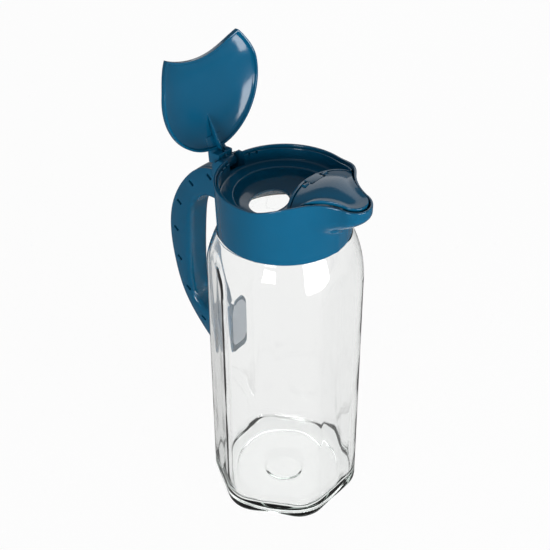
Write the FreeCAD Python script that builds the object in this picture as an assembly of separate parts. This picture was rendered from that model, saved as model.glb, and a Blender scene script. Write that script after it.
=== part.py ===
import FreeCAD, Part
import math
import os

os.makedirs("parts", exist_ok=True)

# Glass jug with a push-on plastic head. Millimetres, +Z up, origin in the middle of the resting face,
# spout towards +X, handle towards -X. The lid stands open and the spout flap is shut.

# Glass body
glass_flats = 100.0
glass_base_growth = 1.7
glass_corner_radius = 22.7
glass_heel_radius = 6.0
glass_wall = 3.6
glass_floor = 9.0
glass_floor_radius = 7.0
glass_shoulder_height = 229.6
shoulder_drop = 33.6
shoulder_arch_drop = 12.8
base_ring_width = 9.0
base_recess_depth = 1.4
base_disc_radius = 13.0
base_slope = 2.5
shoulder_foot_width = 0.7

# Glass neck
neck_radius = 43.0
neck_wall = 3.5
neck_height = 22.4
neck_root_width = 1.8

# Fits
neck_fit = 0.3
insert_fit = 0.3
seat_gap = 0.4
pin_fit = 0.05
lid_side_gap = 1.2
flap_gap = 0.6
foot_gap = 0.3
lid_front_gap = 0.4
lid_seat_gap = 0.3

# Collar and spout
collar_wall = 1.7
collar_flare = 1.0
collar_height = 37.0
rim_wall = 1.6
rim_rise = 7.0
rim_rise_start = 8.0
rim_rise_length = 31.0
rim_tip_fall = 3.0
spout_reach = 68.0
spout_tip_radius = 12.5
spout_flank_radius = 36.0
spout_foot_height = 11.0
spout_lip_height = 36.0
spout_wall = 2.4
spout_root = 0.4
trough_lift = 2.0

# Pour insert
gasket_thickness = 1.5
gasket_width = 3.2
insert_floor = 2.5
insert_wall = 1.5
lid_seat_depth = 1.9
well_radius = 33.0
well_step_depth = 5.5
well_step_radius = 28.0
well_depth = 12.5
well_floor_radius = 17.0
well_wall = 1.8
well_round = 1.0
well_hole_x = -12.0
well_hole_length = 21.0
well_hole_width = 32.0
castle_tooth = 1.6
castle_count = 7
castle_pitch = 7.5

# Bridge between lid and flap
bridge_arc_radius = 61.6
bridge_apex_x = 19.9
bridge_thickness = 2.0
bridge_depth = 5.0
bridge_proud = 0.4
tab_width = 12.0
tab_length = 5.8

# Lid
lid_plate = 2.0
lid_skirt = 1.6
lid_dome = 8.0
lid_reveal = 0.3
lid_open_angle = 93.5
fin_length = 22.0
fin_thickness = 1.4
fin_foot = 3.0
arm_root_length = 9.0
arm_neck_height = 5.5

# Flap
flap_plate = 1.8
flap_half_width = 30.0
flap_draft = 0.25
flap_crown = 9.0
flap_sink = 1.9
flap_narrowing = 40.0
flap_lug_width = 4.0
flap_lug_radius = 2.0
flap_lug_length = 6.0
flap_pin_radius = 0.9
flap_pin_depth = 1.2
flap_pin_offset = 3.6

# Lid hinge
hinge_pin_radius = 1.5
hinge_drop = 7.9
hinge_offset = 6.2
hinge_barrel_radius = 4.0
hinge_arm_width = 13.6
hinge_arm_rise = 10.1
hinge_gap = 0.5
ear_thickness = 3.0
ear_depth = 3.5
ear_top_drop = 3.9
ear_front_gap = 1.0
notch_reach = 3.0
notch_reach_inside = 8.0

# Handle
handle_reach = 102.2
handle_width = 20.0
handle_wall = 2.2
handle_inner_round = 4.5
handle_top_drop = 10.0
handle_foot_z = 96.0
boss_depth = 3.6
boss_width = 17.0
web_setback = 1.4
web_thickness = 4.4
foot_thickness = 3.4
foot_height = 46.0
foot_chamfer = 12.0
end_wall = 2.0
end_height = 40.0
spine_thickness = 2.2
spine_gap = 0.2
spine_flange = 1.4
slot_length = 4.3
slot_width = 1.8
slot_count = 7
slot_inset = 5.6
slot_spacing = 25.0
slot_first = 12.0
slot_tilt = -37.0
slot_land = 0.7
slot_fit = 0.4
tab_reach = 1.2


# Levels and radii that follow from the sizes above
cos30 = math.cos(math.radians(30))
corner_reach = glass_flats / 2 / cos30 - glass_corner_radius * (1 / cos30 - 1)
neck_top = glass_shoulder_height + neck_height
collar_bottom = glass_shoulder_height + seat_gap
rim_z = collar_bottom + collar_height
collar_bore = neck_radius + neck_fit
collar_radius = collar_bore + collar_wall
rim_radius = collar_radius + collar_flare
rim_bore = rim_radius - rim_wall
insert_radius = rim_bore - insert_fit
flange_z = neck_top + gasket_thickness
ledge_z = flange_z + insert_floor
lid_radius = rim_bore - lid_side_gap
bridge_centre_x = bridge_apex_x + bridge_arc_radius
bridge_middle_radius = bridge_arc_radius - bridge_thickness / 2
insert_rim_end = (insert_radius ** 2 - bridge_middle_radius ** 2 + bridge_centre_x ** 2) / (2 * bridge_centre_x)
lid_edge_radius = bridge_arc_radius + lid_front_gap
flap_edge_radius = bridge_arc_radius - bridge_thickness - flap_gap
hinge_x = -(rim_radius + hinge_offset)
hinge_z = rim_z - hinge_drop
flap_pin_x = bridge_apex_x + bridge_thickness + flap_pin_offset
notch_z = hinge_z - hinge_barrel_radius - hinge_gap
ear_foot_z = notch_z - ear_depth
ear_inside = hinge_arm_width / 2 + hinge_gap
web_front_x = -max(collar_radius + boss_depth, glass_flats / 2 - web_setback)
web_back_x = web_front_x - web_thickness
handle_top = rim_z - handle_top_drop
clear_above = rim_z + 60.0
lid_foot_shift = lid_seat_gap - lid_seat_depth
spout_top = rim_z + 16.0
handle_end_x = web_back_x - handle_wall


def vector(x, y, z):
    return FreeCAD.Vector(x, y, z)


def smooth_step(t):
    t = min(max(t, 0.0), 1.0)
    return t * t * (3 - 2 * t)


def rim_height(x, y=0.0):
    """Height of the collar's rim: level at the back, raised beside the spout, lower at its tip."""
    rise = rim_rise * smooth_step((x - rim_rise_start) / rim_rise_length)
    beyond = rim_rise_start + rim_rise_length
    fall = rim_tip_fall * smooth_step((x - beyond) / (spout_reach - beyond + 10.0))
    return rim_z + rise - fall


def lid_height(x, y):
    """Top of the closed lid: the rim's line with a dome over it."""
    dome = lid_dome * (1 - (x * x + y * y) / lid_radius ** 2)
    return rim_height(x) + lid_reveal + dome


def flap_height(x, y):
    """Top of the shut flap: crowned across, and falling along to the tip."""
    half_width = rim_radius / (1 + (x / flap_narrowing) ** 2)
    along = 1 - (x / (spout_reach + 4.0)) ** 2
    return rim_height(x) - flap_sink + flap_crown * along * (1 - (y / half_width) ** 2)


def body_under(height, shift, depth=80.0):
    """Solid that lies under the surface z = height(x, y) + shift."""
    x_steps = 25
    y_steps = 17
    x_low, x_high, y_high = -1.4 * rim_radius, spout_reach + 4.0, 1.25 * rim_radius
    if height is flap_height:
        x_low, y_high = 0.2 * rim_radius, 0.8 * rim_radius
    grid = []
    for i in range(x_steps):
        x = x_low + (x_high - x_low) * i / (x_steps - 1)
        row = []
        for j in range(y_steps):
            y = -y_high + 2 * y_high * j / (y_steps - 1)
            row.append(vector(x, y, height(x, y) + shift))
        grid.append(row)
    surface = Part.BSplineSurface()
    surface.interpolate(grid)
    return surface.toShape().extrude(vector(0, 0, -depth))


def disc(radius, z_low, z_high, x=0.0):
    return Part.makeCylinder(radius, z_high - z_low, vector(x, 0, z_low))


def block(x_low, x_high, half_width, z_low, z_high):
    return Part.makeBox(x_high - x_low, 2 * half_width, z_high - z_low, vector(x_low, -half_width, z_low))


def bar(radius, length, x, z):
    """Round bar along Y, centred on the middle plane."""
    return Part.makeCylinder(radius, length, vector(x, -length / 2, z), vector(0, 1, 0))


def revolved(points):
    """Solid turned about Z from (radius, z) points joined by straight lines."""
    corners = [vector(r, 0, z) for r, z in points]
    return Part.Face(Part.makePolygon(corners + corners[:1])).revolve(vector(0, 0, 0), vector(0, 0, 1), 360)


def rounded_hexagon(flats, corner_radius, z):
    """Hexagon with two flats square to X and rounded corners."""
    inset = flats / 2 - corner_radius
    edges = []
    for k in range(6):
        normal = math.radians(60 * k)
        turn = math.radians(60 * k + 30)
        centre_reach = inset / cos30
        side = inset * math.tan(math.radians(30))
        nx, ny = math.cos(normal), math.sin(normal)
        start = vector(flats / 2 * nx + side * ny, flats / 2 * ny - side * nx, z)
        end = vector(flats / 2 * nx - side * ny, flats / 2 * ny + side * nx, z)
        middle_reach = centre_reach + corner_radius
        middle = vector(middle_reach * math.cos(turn), middle_reach * math.sin(turn), z)
        after = math.radians(60 * (k + 1))
        ax, ay = math.cos(after), math.sin(after)
        following = vector(flats / 2 * ax + side * ay, flats / 2 * ay - side * ax, z)
        edges.append(Part.makeLine(start, end))
        edges.append(Part.Arc(end, middle, following).toShape())
    return Part.Wire(edges)


def hexagon_body(inset, corner_radius, z_low, z_high):
    """Prism with the jug's flats, a little wider at the base."""
    def flats_at(z):
        return glass_flats + glass_base_growth * (1 - z / glass_shoulder_height) - 2 * inset

    low = rounded_hexagon(flats_at(z_low), corner_radius, z_low)
    high = rounded_hexagon(flats_at(z_high), corner_radius, z_high)
    return Part.makeLoft([low, high], True, True)


def fillet_at_height(solid, radius, z):
    edges = []
    for edge in solid.Edges:
        box = edge.BoundBox
        if abs(box.ZMin - z) < 0.01 and abs(box.ZMax - z) < 0.01:
            edges.append(edge)
    return solid.makeFillet(radius, edges)


def shoulder_body(inset, neck, z_low):
    """Turned body whose shoulder cuts the flats off in arches."""
    foot = vector(corner_reach + shoulder_foot_width - inset, 0, glass_shoulder_height - shoulder_drop)
    arch = vector(glass_flats / 2 - inset, 0, glass_shoulder_height - shoulder_arch_drop)
    top = vector(neck, 0, glass_shoulder_height)
    up = vector(neck, 0, neck_top)
    wide_low = vector(foot.x + 4.0, 0, z_low)
    wide_high = vector(foot.x + 4.0, 0, foot.z)
    edges = [
        Part.makeLine(vector(0, 0, z_low), wide_low),
        Part.makeLine(wide_low, wide_high),
        Part.makeLine(wide_high, foot),
        Part.Arc(foot, arch, top).toShape(),
        Part.makeLine(top, up),
        Part.makeLine(up, vector(0, 0, neck_top)),
        Part.makeLine(vector(0, 0, neck_top), vector(0, 0, z_low)),
    ]
    return Part.Face(Part.Wire(edges)).revolve(vector(0, 0, 0), vector(0, 0, 1), 360)


def make_glass_body():
    outer = hexagon_body(0.0, glass_corner_radius, 0.0, neck_top + 5.0)
    outer = fillet_at_height(outer, glass_heel_radius, 0.0)
    outer = outer.common(shoulder_body(0.0, neck_radius + neck_root_width, 0.0))
    ring = disc(neck_radius + 30, glass_shoulder_height, neck_top + 1)
    outer = outer.cut(ring.cut(disc(neck_radius, glass_shoulder_height - 1, neck_top + 2)))
    inner = hexagon_body(glass_wall, glass_corner_radius - glass_wall, glass_floor, neck_top + 5.0)
    inner = fillet_at_height(inner, glass_floor_radius, glass_floor)
    inner = inner.common(shoulder_body(glass_wall, neck_radius - neck_wall, 0.0))
    inner = inner.fuse(disc(neck_radius - neck_wall, glass_shoulder_height - 1.0, neck_top + 1.0))
    recess_radius = glass_flats / 2 - base_ring_width
    recess = revolved([
        (base_disc_radius, -1), (recess_radius, -1), (recess_radius, 0),
        (recess_radius - base_slope, base_recess_depth), (base_disc_radius + base_slope, base_recess_depth),
        (base_disc_radius, 0),
    ])
    return outer.cut(inner).cut(recess)


def spout_outline(z, circle_radius, reach, tip_radius, flank_radius):
    """Collar circle and spout tip circle joined by two hollow flanks."""
    tip_x = reach - tip_radius
    far = circle_radius + flank_radius
    near = tip_radius + flank_radius
    flank_x = (far ** 2 - near ** 2 + tip_x ** 2) / (2 * tip_x)
    flank_y = math.sqrt(far ** 2 - flank_x ** 2)
    on_circle = vector(circle_radius / far * flank_x, circle_radius / far * flank_y, z)
    on_tip = vector(tip_x + tip_radius / near * (flank_x - tip_x), tip_radius / near * flank_y, z)
    middle_angle = (math.atan2(on_circle.y - flank_y, on_circle.x - flank_x)
                    + math.atan2(on_tip.y - flank_y, on_tip.x - flank_x)) / 2
    hollow = vector(flank_x + flank_radius * math.cos(middle_angle),
                    flank_y + flank_radius * math.sin(middle_angle), z)

    def mirrored(point):
        return vector(point.x, -point.y, point.z)

    back = vector(-circle_radius, 0, z)
    tip = vector(reach, 0, z)
    edges = [
        Part.Arc(on_circle, back, mirrored(on_circle)).toShape(),
        Part.Arc(mirrored(on_circle), mirrored(hollow), mirrored(on_tip)).toShape(),
        Part.Arc(mirrored(on_tip), tip, on_tip).toShape(),
        Part.Arc(on_tip, hollow, on_circle).toShape(),
    ]
    return Part.Wire(edges)


def spout_body(inset, z_low, z_high, lift):
    """Collar and spout as one lofted body, made smaller all round by inset and raised by lift."""
    sections = []
    steps = 14
    for i in range(steps):
        z = z_low + (z_high - z_low) * i / (steps - 1)
        level = z - collar_bottom - lift
        blend = smooth_step((level - spout_foot_height) / (spout_lip_height - spout_foot_height))
        flare = collar_flare * min(max(level / collar_height, 0.0), 1.0)
        circle = collar_radius + flare - inset
        bare = circle + spout_root
        reach = bare + (spout_reach - inset - bare) * blend
        sections.append(spout_outline(z, circle, reach, spout_tip_radius - inset, spout_flank_radius + inset))
    return Part.makeLoft(sections, True, False)


def make_collar():
    outer = spout_body(0.0, collar_bottom, spout_top, 0.0)
    outer = outer.common(body_under(rim_height, 0.0))
    boss = block(web_front_x, 0, boss_width / 2, collar_bottom, notch_z)
    shell = outer.fuse(boss)
    for side in (-1, 1):
        low = ear_inside if side > 0 else -ear_inside - ear_thickness
        ear = Part.makeCylinder(hinge_barrel_radius, ear_thickness, vector(hinge_x, low, hinge_z), vector(0, 1, 0))
        front_length = -rim_bore - hinge_x - ear_front_gap
        back = Part.makeBox(front_length + hinge_barrel_radius, ear_thickness, hinge_z - ear_foot_z,
                            vector(hinge_x - hinge_barrel_radius, low, ear_foot_z))
        front = Part.makeBox(front_length, ear_thickness, rim_z - ear_top_drop - ear_foot_z,
                             vector(hinge_x, low, ear_foot_z))
        shell = shell.fuse(ear).fuse(back).fuse(front)
    hollow = disc(collar_bore, collar_bottom - 1, flange_z + 1)
    hollow = hollow.fuse(disc(rim_bore, flange_z, clear_above))
    trough = spout_body(spout_wall, flange_z + 1.0, spout_top, trough_lift)
    shell = shell.cut(hollow).cut(trough.common(block(0, 200, 100, 0, clear_above)))
    shell = shell.cut(block(-80, -rim_bore + notch_reach, ear_inside, notch_z, clear_above))
    return shell.cut(bar(hinge_pin_radius + pin_fit, 60, hinge_x, hinge_z))


def arc_wall(radius_out, radius_in, z_low, z_high):
    """Wall that follows the arc between lid and flap."""
    wall = disc(radius_out, z_low, z_high, bridge_centre_x)
    return wall.cut(disc(radius_in, z_low - 1, z_high + 1, bridge_centre_x))


def make_pour_insert():
    top = clear_above
    rim = disc(insert_radius, flange_z, top).cut(disc(insert_radius - insert_wall, flange_z - 1, top + 1))
    rim = rim.common(body_under(rim_height, -lid_seat_depth))
    rim = rim.cut(block(insert_rim_end, 100, 100, ledge_z, top))
    floor = disc(insert_radius, flange_z, ledge_z)
    step_z = ledge_z - well_step_depth
    floor_z = ledge_z - well_depth
    well_out = revolved([
        (0, floor_z - well_wall), (well_floor_radius, floor_z - well_wall),
        (well_step_radius + well_wall, step_z - well_wall), (well_radius + well_wall, step_z + 1.0),
        (well_radius + well_wall, flange_z + 0.5), (0, flange_z + 0.5),
    ])
    well_in = revolved([
        (0, floor_z), (well_floor_radius, floor_z), (well_step_radius, step_z),
        (well_radius - well_round, step_z + well_round), (well_radius, ledge_z - well_round),
        (well_radius + well_round, ledge_z), (0, ledge_z),
    ])
    hole = disc(0.5, floor_z - 20, ledge_z)
    matrix = FreeCAD.Matrix()
    matrix.scale(well_hole_length, well_hole_width, 1)
    hole = hole.transformGeometry(matrix)
    hole.translate(vector(well_hole_x, 0, 0))
    insert = rim.fuse(floor).fuse(well_out).cut(well_in).cut(hole)
    bridge = arc_wall(bridge_arc_radius, bridge_arc_radius - bridge_thickness, ledge_z, top)
    bridge = bridge.common(disc(insert_radius, ledge_z, top)).common(block(0, insert_radius, 100, ledge_z, top))
    bridge = bridge.common(body_under(flap_height, bridge_proud)).cut(body_under(flap_height, -bridge_depth))
    tab_end = bridge_apex_x + bridge_thickness + tab_length
    tab = block(bridge_apex_x + bridge_thickness / 2, tab_end, tab_width / 2, ledge_z, top)
    tab = tab.common(body_under(flap_height, 0.0)).cut(body_under(flap_height, bridge_proud - bridge_depth))
    insert = insert.fuse(bridge).fuse(tab)
    insert = insert.cut(block(-80, -insert_radius + notch_reach_inside, ear_inside, ledge_z + 1.0, top))
    for i in range(castle_count):
        angle = (i - (castle_count - 1) / 2) * castle_pitch
        if abs(insert_radius * math.sin(math.radians(angle))) > ear_inside + castle_tooth:
            gap_floor = rim_z - lid_seat_depth - castle_tooth
            gap = block(-insert_radius - 2, -insert_radius + 4, castle_tooth / 2, gap_floor, top)
            gap.rotate(vector(0, 0, 0), vector(0, 0, 1), angle)
            insert = insert.cut(gap)
    return insert.cut(bar(flap_pin_radius + pin_fit, tab_width + 2, flap_pin_x, flap_pin_z))


flap_pin_z = flap_height(flap_pin_x, 0) - flap_pin_depth


def make_spout_flap():
    outlines = []
    for z in (rim_z + rim_rise - 12.0, rim_z + rim_rise + 6.0):
        inset = spout_wall + flap_gap + flap_draft * (rim_z + rim_rise - z)
        outlines.append(spout_outline(z, rim_radius - inset, spout_reach - inset, spout_tip_radius - inset,
                                      spout_flank_radius + inset))
    prism = Part.makeLoft(outlines, True, True)
    prism = prism.common(disc(flap_edge_radius, 0, clear_above, bridge_centre_x))
    plate = prism.common(body_under(flap_height, 0.0)).cut(body_under(flap_height, -flap_plate))
    notch_x = bridge_apex_x + bridge_thickness + tab_length + flap_gap
    notch = block(0, notch_x, tab_width / 2 + flap_gap, 0, clear_above)
    flap = plate.cut(notch).common(block(0, 200, flap_half_width, 0, clear_above))
    for side in (-1, 1):
        inside = tab_width / 2 + flap_gap
        low = inside if side > 0 else -inside - flap_lug_width
        middle = vector(flap_pin_x, low, flap_pin_z)
        lug = Part.makeCylinder(flap_lug_radius, flap_lug_width, middle, vector(0, 1, 0))
        root = Part.makeBox(flap_lug_length, flap_lug_width, flap_lug_radius + 1.0,
                            middle - vector(0, 0, flap_lug_radius))
        lug = lug.fuse(root).common(body_under(flap_height, -0.2))
        flap = flap.fuse(lug)
    return flap.cut(bar(flap_pin_radius + pin_fit, 60, flap_pin_x, flap_pin_z))


def make_flap_hinge_pin():
    return bar(flap_pin_radius, tab_width + 2 * flap_lug_width, flap_pin_x, flap_pin_z)


def open_lid(solid):
    solid.rotate(vector(hinge_x, 0, hinge_z), vector(0, -1, 0), lid_open_angle)
    return solid


def make_lid():
    top = clear_above
    outline = disc(lid_radius, rim_z - 10, top).cut(disc(lid_edge_radius, rim_z - 11, top + 1, bridge_centre_x))
    inside = disc(lid_radius - lid_skirt, rim_z - 12, top)
    inside = inside.cut(disc(lid_edge_radius + lid_skirt, rim_z - 13, top + 1, bridge_centre_x))
    shell = outline.common(body_under(lid_height, 0.0)).cut(body_under(rim_height, lid_foot_shift))
    shell = shell.cut(inside.common(body_under(lid_height, -lid_plate)))
    half = hinge_arm_width / 2
    arm = block(hinge_x, -lid_radius + lid_skirt, half, hinge_z, hinge_z + hinge_arm_rise)
    root_x = -lid_radius + arm_root_length
    root_z = lid_height(root_x, 0) - lid_plate
    arm_top = hinge_z + hinge_arm_rise
    neck_z = hinge_z + arm_neck_height
    wedge = Part.makePolygon([
        vector(hinge_x, -half, arm_top), vector(-lid_radius, -half, arm_top + 0.01),
        vector(root_x, -half, root_z + lid_plate - 0.5), vector(root_x, -half, root_z),
        vector(-lid_radius, -half, neck_z), vector(hinge_x, -half, neck_z), vector(hinge_x, -half, arm_top),
    ])
    arm = arm.fuse(Part.Face(wedge).extrude(vector(0, 2 * half, 0)))
    arm = arm.cut(block(-lid_radius - 1.0, 0, 100, 0, rim_z + lid_foot_shift))
    arm = arm.fuse(bar(hinge_barrel_radius, hinge_arm_width, hinge_x, hinge_z))
    start = -lid_radius + lid_skirt / 2
    end = start + fin_length
    side = -fin_thickness / 2
    fin = Part.makePolygon([
        vector(start, side, lid_height(start, 0) - 1.0), vector(end, side, lid_height(end, 0) - lid_plate / 2),
        vector(start + fin_foot, side, rim_z + lid_foot_shift), vector(start, side, rim_z + lid_foot_shift),
        vector(start, side, lid_height(start, 0) - 1.0),
    ])
    fin = Part.Face(fin).extrude(vector(0, fin_thickness, 0)).common(body_under(lid_height, -0.5))
    lid = shell.fuse(arm).fuse(fin)
    lid = lid.cut(bar(hinge_pin_radius + pin_fit, 60, hinge_x, hinge_z))
    return open_lid(lid)


def make_lid_hinge_pin():
    return bar(hinge_pin_radius, hinge_arm_width + 2 * hinge_gap + 2 * ear_thickness - 0.4, hinge_x, hinge_z)


def make_neck_gasket():
    return disc(neck_radius, neck_top, flange_z).cut(disc(neck_radius - gasket_width, neck_top - 1, flange_z + 1))


# The handle's outline as (share of the way in from the belly, share of the way up from the foot)
outer_shape = [(1.02, 1.0), (0.71, 0.975), (0.43, 0.905), (0.035, 0.673), (0.06, 0.401), (0.21, 0.252),
               (0.47, 0.136), (1.02, -0.02)]
inner_shape = [(1.02, 0.84), (0.73, 0.832), (0.53, 0.78), (0.415, 0.648), (0.37, 0.457), (0.37, 0.333),
               (0.445, 0.245), (0.6, 0.205), (1.02, 0.19)]


def glass_face_x(z):
    return -(glass_flats + glass_base_growth * (1 - z / glass_shoulder_height)) / 2


def shape_points(shape):
    """Points of a handle curve, whose lower end reaches into the foot pad."""
    span = handle_reach + web_back_x
    height = handle_top - handle_foot_z
    points = [vector(-handle_reach + span * u, 0, handle_foot_z + height * v) for u, v in shape]
    points[-1].x = max(points[-1].x, glass_face_x(handle_foot_z) - foot_gap - foot_thickness / 2)
    return points


def spline(points):
    curve = Part.BSplineCurve()
    curve.interpolate(points)
    return curve


def offset_spline(curve, distance, count=15):
    """Curve beside another in the XZ plane."""
    first, last = curve.FirstParameter, curve.LastParameter
    points = []
    for i in range(count):
        at = first + (last - first) * i / (count - 1)
        tangent = curve.tangent(at)[0]
        points.append(curve.value(at) + vector(tangent.z, 0, -tangent.x) * distance)
    return spline(points)


def band(curve_out, curve_in, half_width):
    """Solid between two curves of the XZ plane, centred on the middle plane."""
    a, b = curve_out.StartPoint, curve_out.EndPoint
    c, d = curve_in.EndPoint, curve_in.StartPoint
    wire = Part.Wire([curve_out.toShape(), Part.makeLine(b, c), curve_in.toShape(), Part.makeLine(d, a)])
    face = Part.Face(wire)
    face.translate(vector(0, -half_width, 0))
    return face.extrude(vector(0, 2 * half_width, 0))


def outside_of(curve, half_width):
    """Solid from a curve of the handle out past its belly, top and foot."""
    a, b = curve.StartPoint, curve.EndPoint
    out, low, high = -handle_reach - 10.0, handle_foot_z - 10.0, handle_top + 10.0
    corners = [b, vector(b.x, 0, low), vector(out, 0, low), vector(out, 0, high), vector(a.x, 0, high), a]
    face = Part.Face(Part.Wire([curve.toShape()] + Part.makePolygon(corners).Edges))
    face.translate(vector(0, -half_width, 0))
    return face.extrude(vector(0, 2 * half_width, 0))


outer_curve = spline(shape_points(outer_shape))
inner_curve = spline(shape_points(inner_shape))


def foot_pad():
    """Pad along the jug's flat, parallel to it."""
    low, high = handle_foot_z, handle_foot_z + foot_height
    front_low = glass_face_x(low) - foot_gap
    front_high = glass_face_x(high) - foot_gap
    side = Part.makePolygon([
        vector(front_low, 0, low), vector(front_high, 0, high),
        vector(front_high - foot_thickness / 2, 0, high), vector(front_low - foot_thickness, 0, low + foot_chamfer),
        vector(front_low - foot_thickness, 0, low), vector(front_low, 0, low),
    ])
    face = Part.Face(side)
    face.translate(vector(0, -handle_width / 2, 0))
    return face.extrude(vector(0, handle_width, 0))


def slot_places():
    """Middle of each snap slot, evenly spaced along a line inside the outer edge."""
    line = offset_spline(outer_curve, -slot_inset, 25)
    places = []
    for i in range(slot_count):
        at = line.parameterAtDistance(slot_first + i * slot_spacing, line.FirstParameter)
        places.append(line.value(at))
    return places


def slot_block(place, length, width, y_low, y_high):
    """Small block at a slot, turned to the slots' common tilt."""
    piece = Part.makeBox(length, y_high - y_low, width, vector(-length / 2, y_low, -width / 2))
    piece.rotate(vector(0, 0, 0), vector(0, 1, 0), -slot_tilt)
    piece.translate(place)
    return piece


def handle_ends(gap):
    """Solid ends of the handle at the web and at the foot, grown by gap."""
    foot_x = glass_face_x(handle_foot_z) - foot_gap - foot_thickness - end_wall - gap
    top_end = block(handle_end_x - gap, 0, 100, 0, clear_above)
    return top_end.fuse(block(foot_x, 0, 100, 0, handle_foot_z + end_height))


def ear_room(gap):
    """Space that the handle leaves to the collar's ears and the lid's barrel, grown by gap."""
    clear = neck_fit + gap
    return block(hinge_x - hinge_barrel_radius - clear, 0, 100, ear_foot_z - clear, clear_above)


def fillet_along(solid, curve, half_width, radius):
    """Round the two long edges that follow the curve."""
    edges = []
    middle = curve.value((curve.FirstParameter + curve.LastParameter) / 2)
    for edge in solid.Edges:
        box = edge.BoundBox
        flat = box.YMax - box.YMin < 0.01 and abs(abs(box.YMax) - half_width) < 0.01
        if flat and box.ZMax - box.ZMin > 60 and edge.distToShape(Part.Vertex(
                vector(middle.x, box.YMax, middle.z)))[0] < 0.05:
            edges.append(edge)
    return solid.makeFillet(radius, edges)


def make_handle_frame():
    half = handle_width / 2
    arm = band(outer_curve, inner_curve, half)
    arm = fillet_along(arm, inner_curve, half, handle_inner_round)
    channel = outside_of(offset_spline(inner_curve, handle_wall), half - handle_wall)
    frame = arm.cut(channel.cut(handle_ends(0.0)))
    web = block(web_back_x - 0.5, web_front_x, half, collar_bottom, ear_foot_z - neck_fit)
    frame = frame.fuse(web).fuse(foot_pad())
    frame = frame.cut(ear_room(0.0)).cut(block(-400, 0, 100, 0, handle_foot_z))
    for place in slot_places():
        frame = frame.cut(slot_block(place, slot_length, slot_width, -half - 1, half + 1))
    return frame


def make_handle_spine():
    half = handle_width / 2 - handle_wall - spine_gap
    flange_depth = slot_inset + slot_width / 2 + slot_land
    cover = band(outer_curve, offset_spline(outer_curve, -flange_depth), half)
    hollow = band(offset_spline(outer_curve, -spine_thickness), offset_spline(outer_curve, -flange_depth - 3.0),
                  half - spine_flange)
    cover = cover.cut(hollow)
    cover = cover.cut(handle_ends(spine_gap)).cut(ear_room(spine_gap))
    for place in slot_places():
        for side in (-1, 1):
            low = half - spine_flange if side > 0 else -half - spine_gap - tab_reach
            high = half + spine_gap + tab_reach if side > 0 else -half + spine_flange
            cover = cover.fuse(slot_block(place, slot_length - slot_fit, slot_width - slot_fit, low, high))
    return cover


parts = {
    "glass_body": make_glass_body,
    "neck_gasket": make_neck_gasket,
    "collar": make_collar,
    "pour_insert": make_pour_insert,
    "handle_frame": make_handle_frame,
    "handle_spine": make_handle_spine,
    "lid": make_lid,
    "lid_hinge_pin": make_lid_hinge_pin,
    "spout_flap": make_spout_flap,
    "flap_hinge_pin": make_flap_hinge_pin,
}

for name, make in parts.items():
    shape = make()
    print(name, "solids", len(shape.Solids), "valid", shape.isValid(), "volume", round(shape.Volume, 1))
    shape.exportStep("parts/" + name + ".step")
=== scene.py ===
# %% [markdown]
# # A glass jug with a push-on head
# The jug is pressed from clear glass: six flat sides, a round neck and a heavy foot. A plastic head
# pushes on to the neck and carries the spout, its flap, the lid and the handle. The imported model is
# loaded first, because every piece made below has to sit where that model says.

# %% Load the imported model
import math

import bmesh
import bpy
from mathutils import Matrix, Vector


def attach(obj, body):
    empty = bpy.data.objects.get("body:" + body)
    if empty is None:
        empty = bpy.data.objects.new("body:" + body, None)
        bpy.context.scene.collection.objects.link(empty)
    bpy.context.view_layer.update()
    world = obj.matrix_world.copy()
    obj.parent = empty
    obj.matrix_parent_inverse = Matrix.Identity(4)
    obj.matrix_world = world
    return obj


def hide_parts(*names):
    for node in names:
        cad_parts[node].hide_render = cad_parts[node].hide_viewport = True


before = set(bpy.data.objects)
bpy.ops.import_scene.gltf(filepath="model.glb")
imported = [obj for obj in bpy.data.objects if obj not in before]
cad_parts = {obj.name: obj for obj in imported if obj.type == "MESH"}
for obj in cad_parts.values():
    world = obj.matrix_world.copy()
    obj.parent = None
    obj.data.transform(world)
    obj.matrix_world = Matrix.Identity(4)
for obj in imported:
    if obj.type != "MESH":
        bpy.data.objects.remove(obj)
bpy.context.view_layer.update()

mm = 0.001
print("nodes:", ", ".join(sorted(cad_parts)))

# %% [markdown]
# ## Camera
# The photograph looks down on the jug from the spout's left side with a long lens. The camera stands
# where the edges of the lid, the collar and the base line up with it.

# %% Camera
camera_data = bpy.data.cameras.new("camera")
camera = bpy.data.objects.new("camera", camera_data)
bpy.context.scene.collection.objects.link(camera)
camera.location = (0.38757, -0.44387, 0.62496)
camera.rotation_euler = [math.radians(angle) for angle in (53.5565, 0.292, 41.5584)]
camera_data.lens = 69.8
camera_data.sensor_width = 36.0
camera_data.clip_start = 0.02
bpy.context.scene.camera = camera
print("lens", camera_data.lens)

# %% [markdown]
# ## Helpers
# An operator acts on everything that is selected, so each piece starts from an empty selection.
# Smooth shading that stops at a stated angle keeps flat faces flat and round ones round.


# %% Selection and finishing helpers
def select_only(*objects):
    if bpy.context.object and bpy.context.object.mode == "EDIT":
        bpy.ops.object.mode_set(mode="OBJECT")
    bpy.ops.object.select_all(action="DESELECT")
    for item in objects:
        item.select_set(True)
    if objects:
        bpy.context.view_layer.objects.active = objects[0]


def apply_modifiers(item):
    select_only(item)
    for modifier in list(item.modifiers):
        bpy.ops.object.modifier_apply(modifier=modifier.name)


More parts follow.
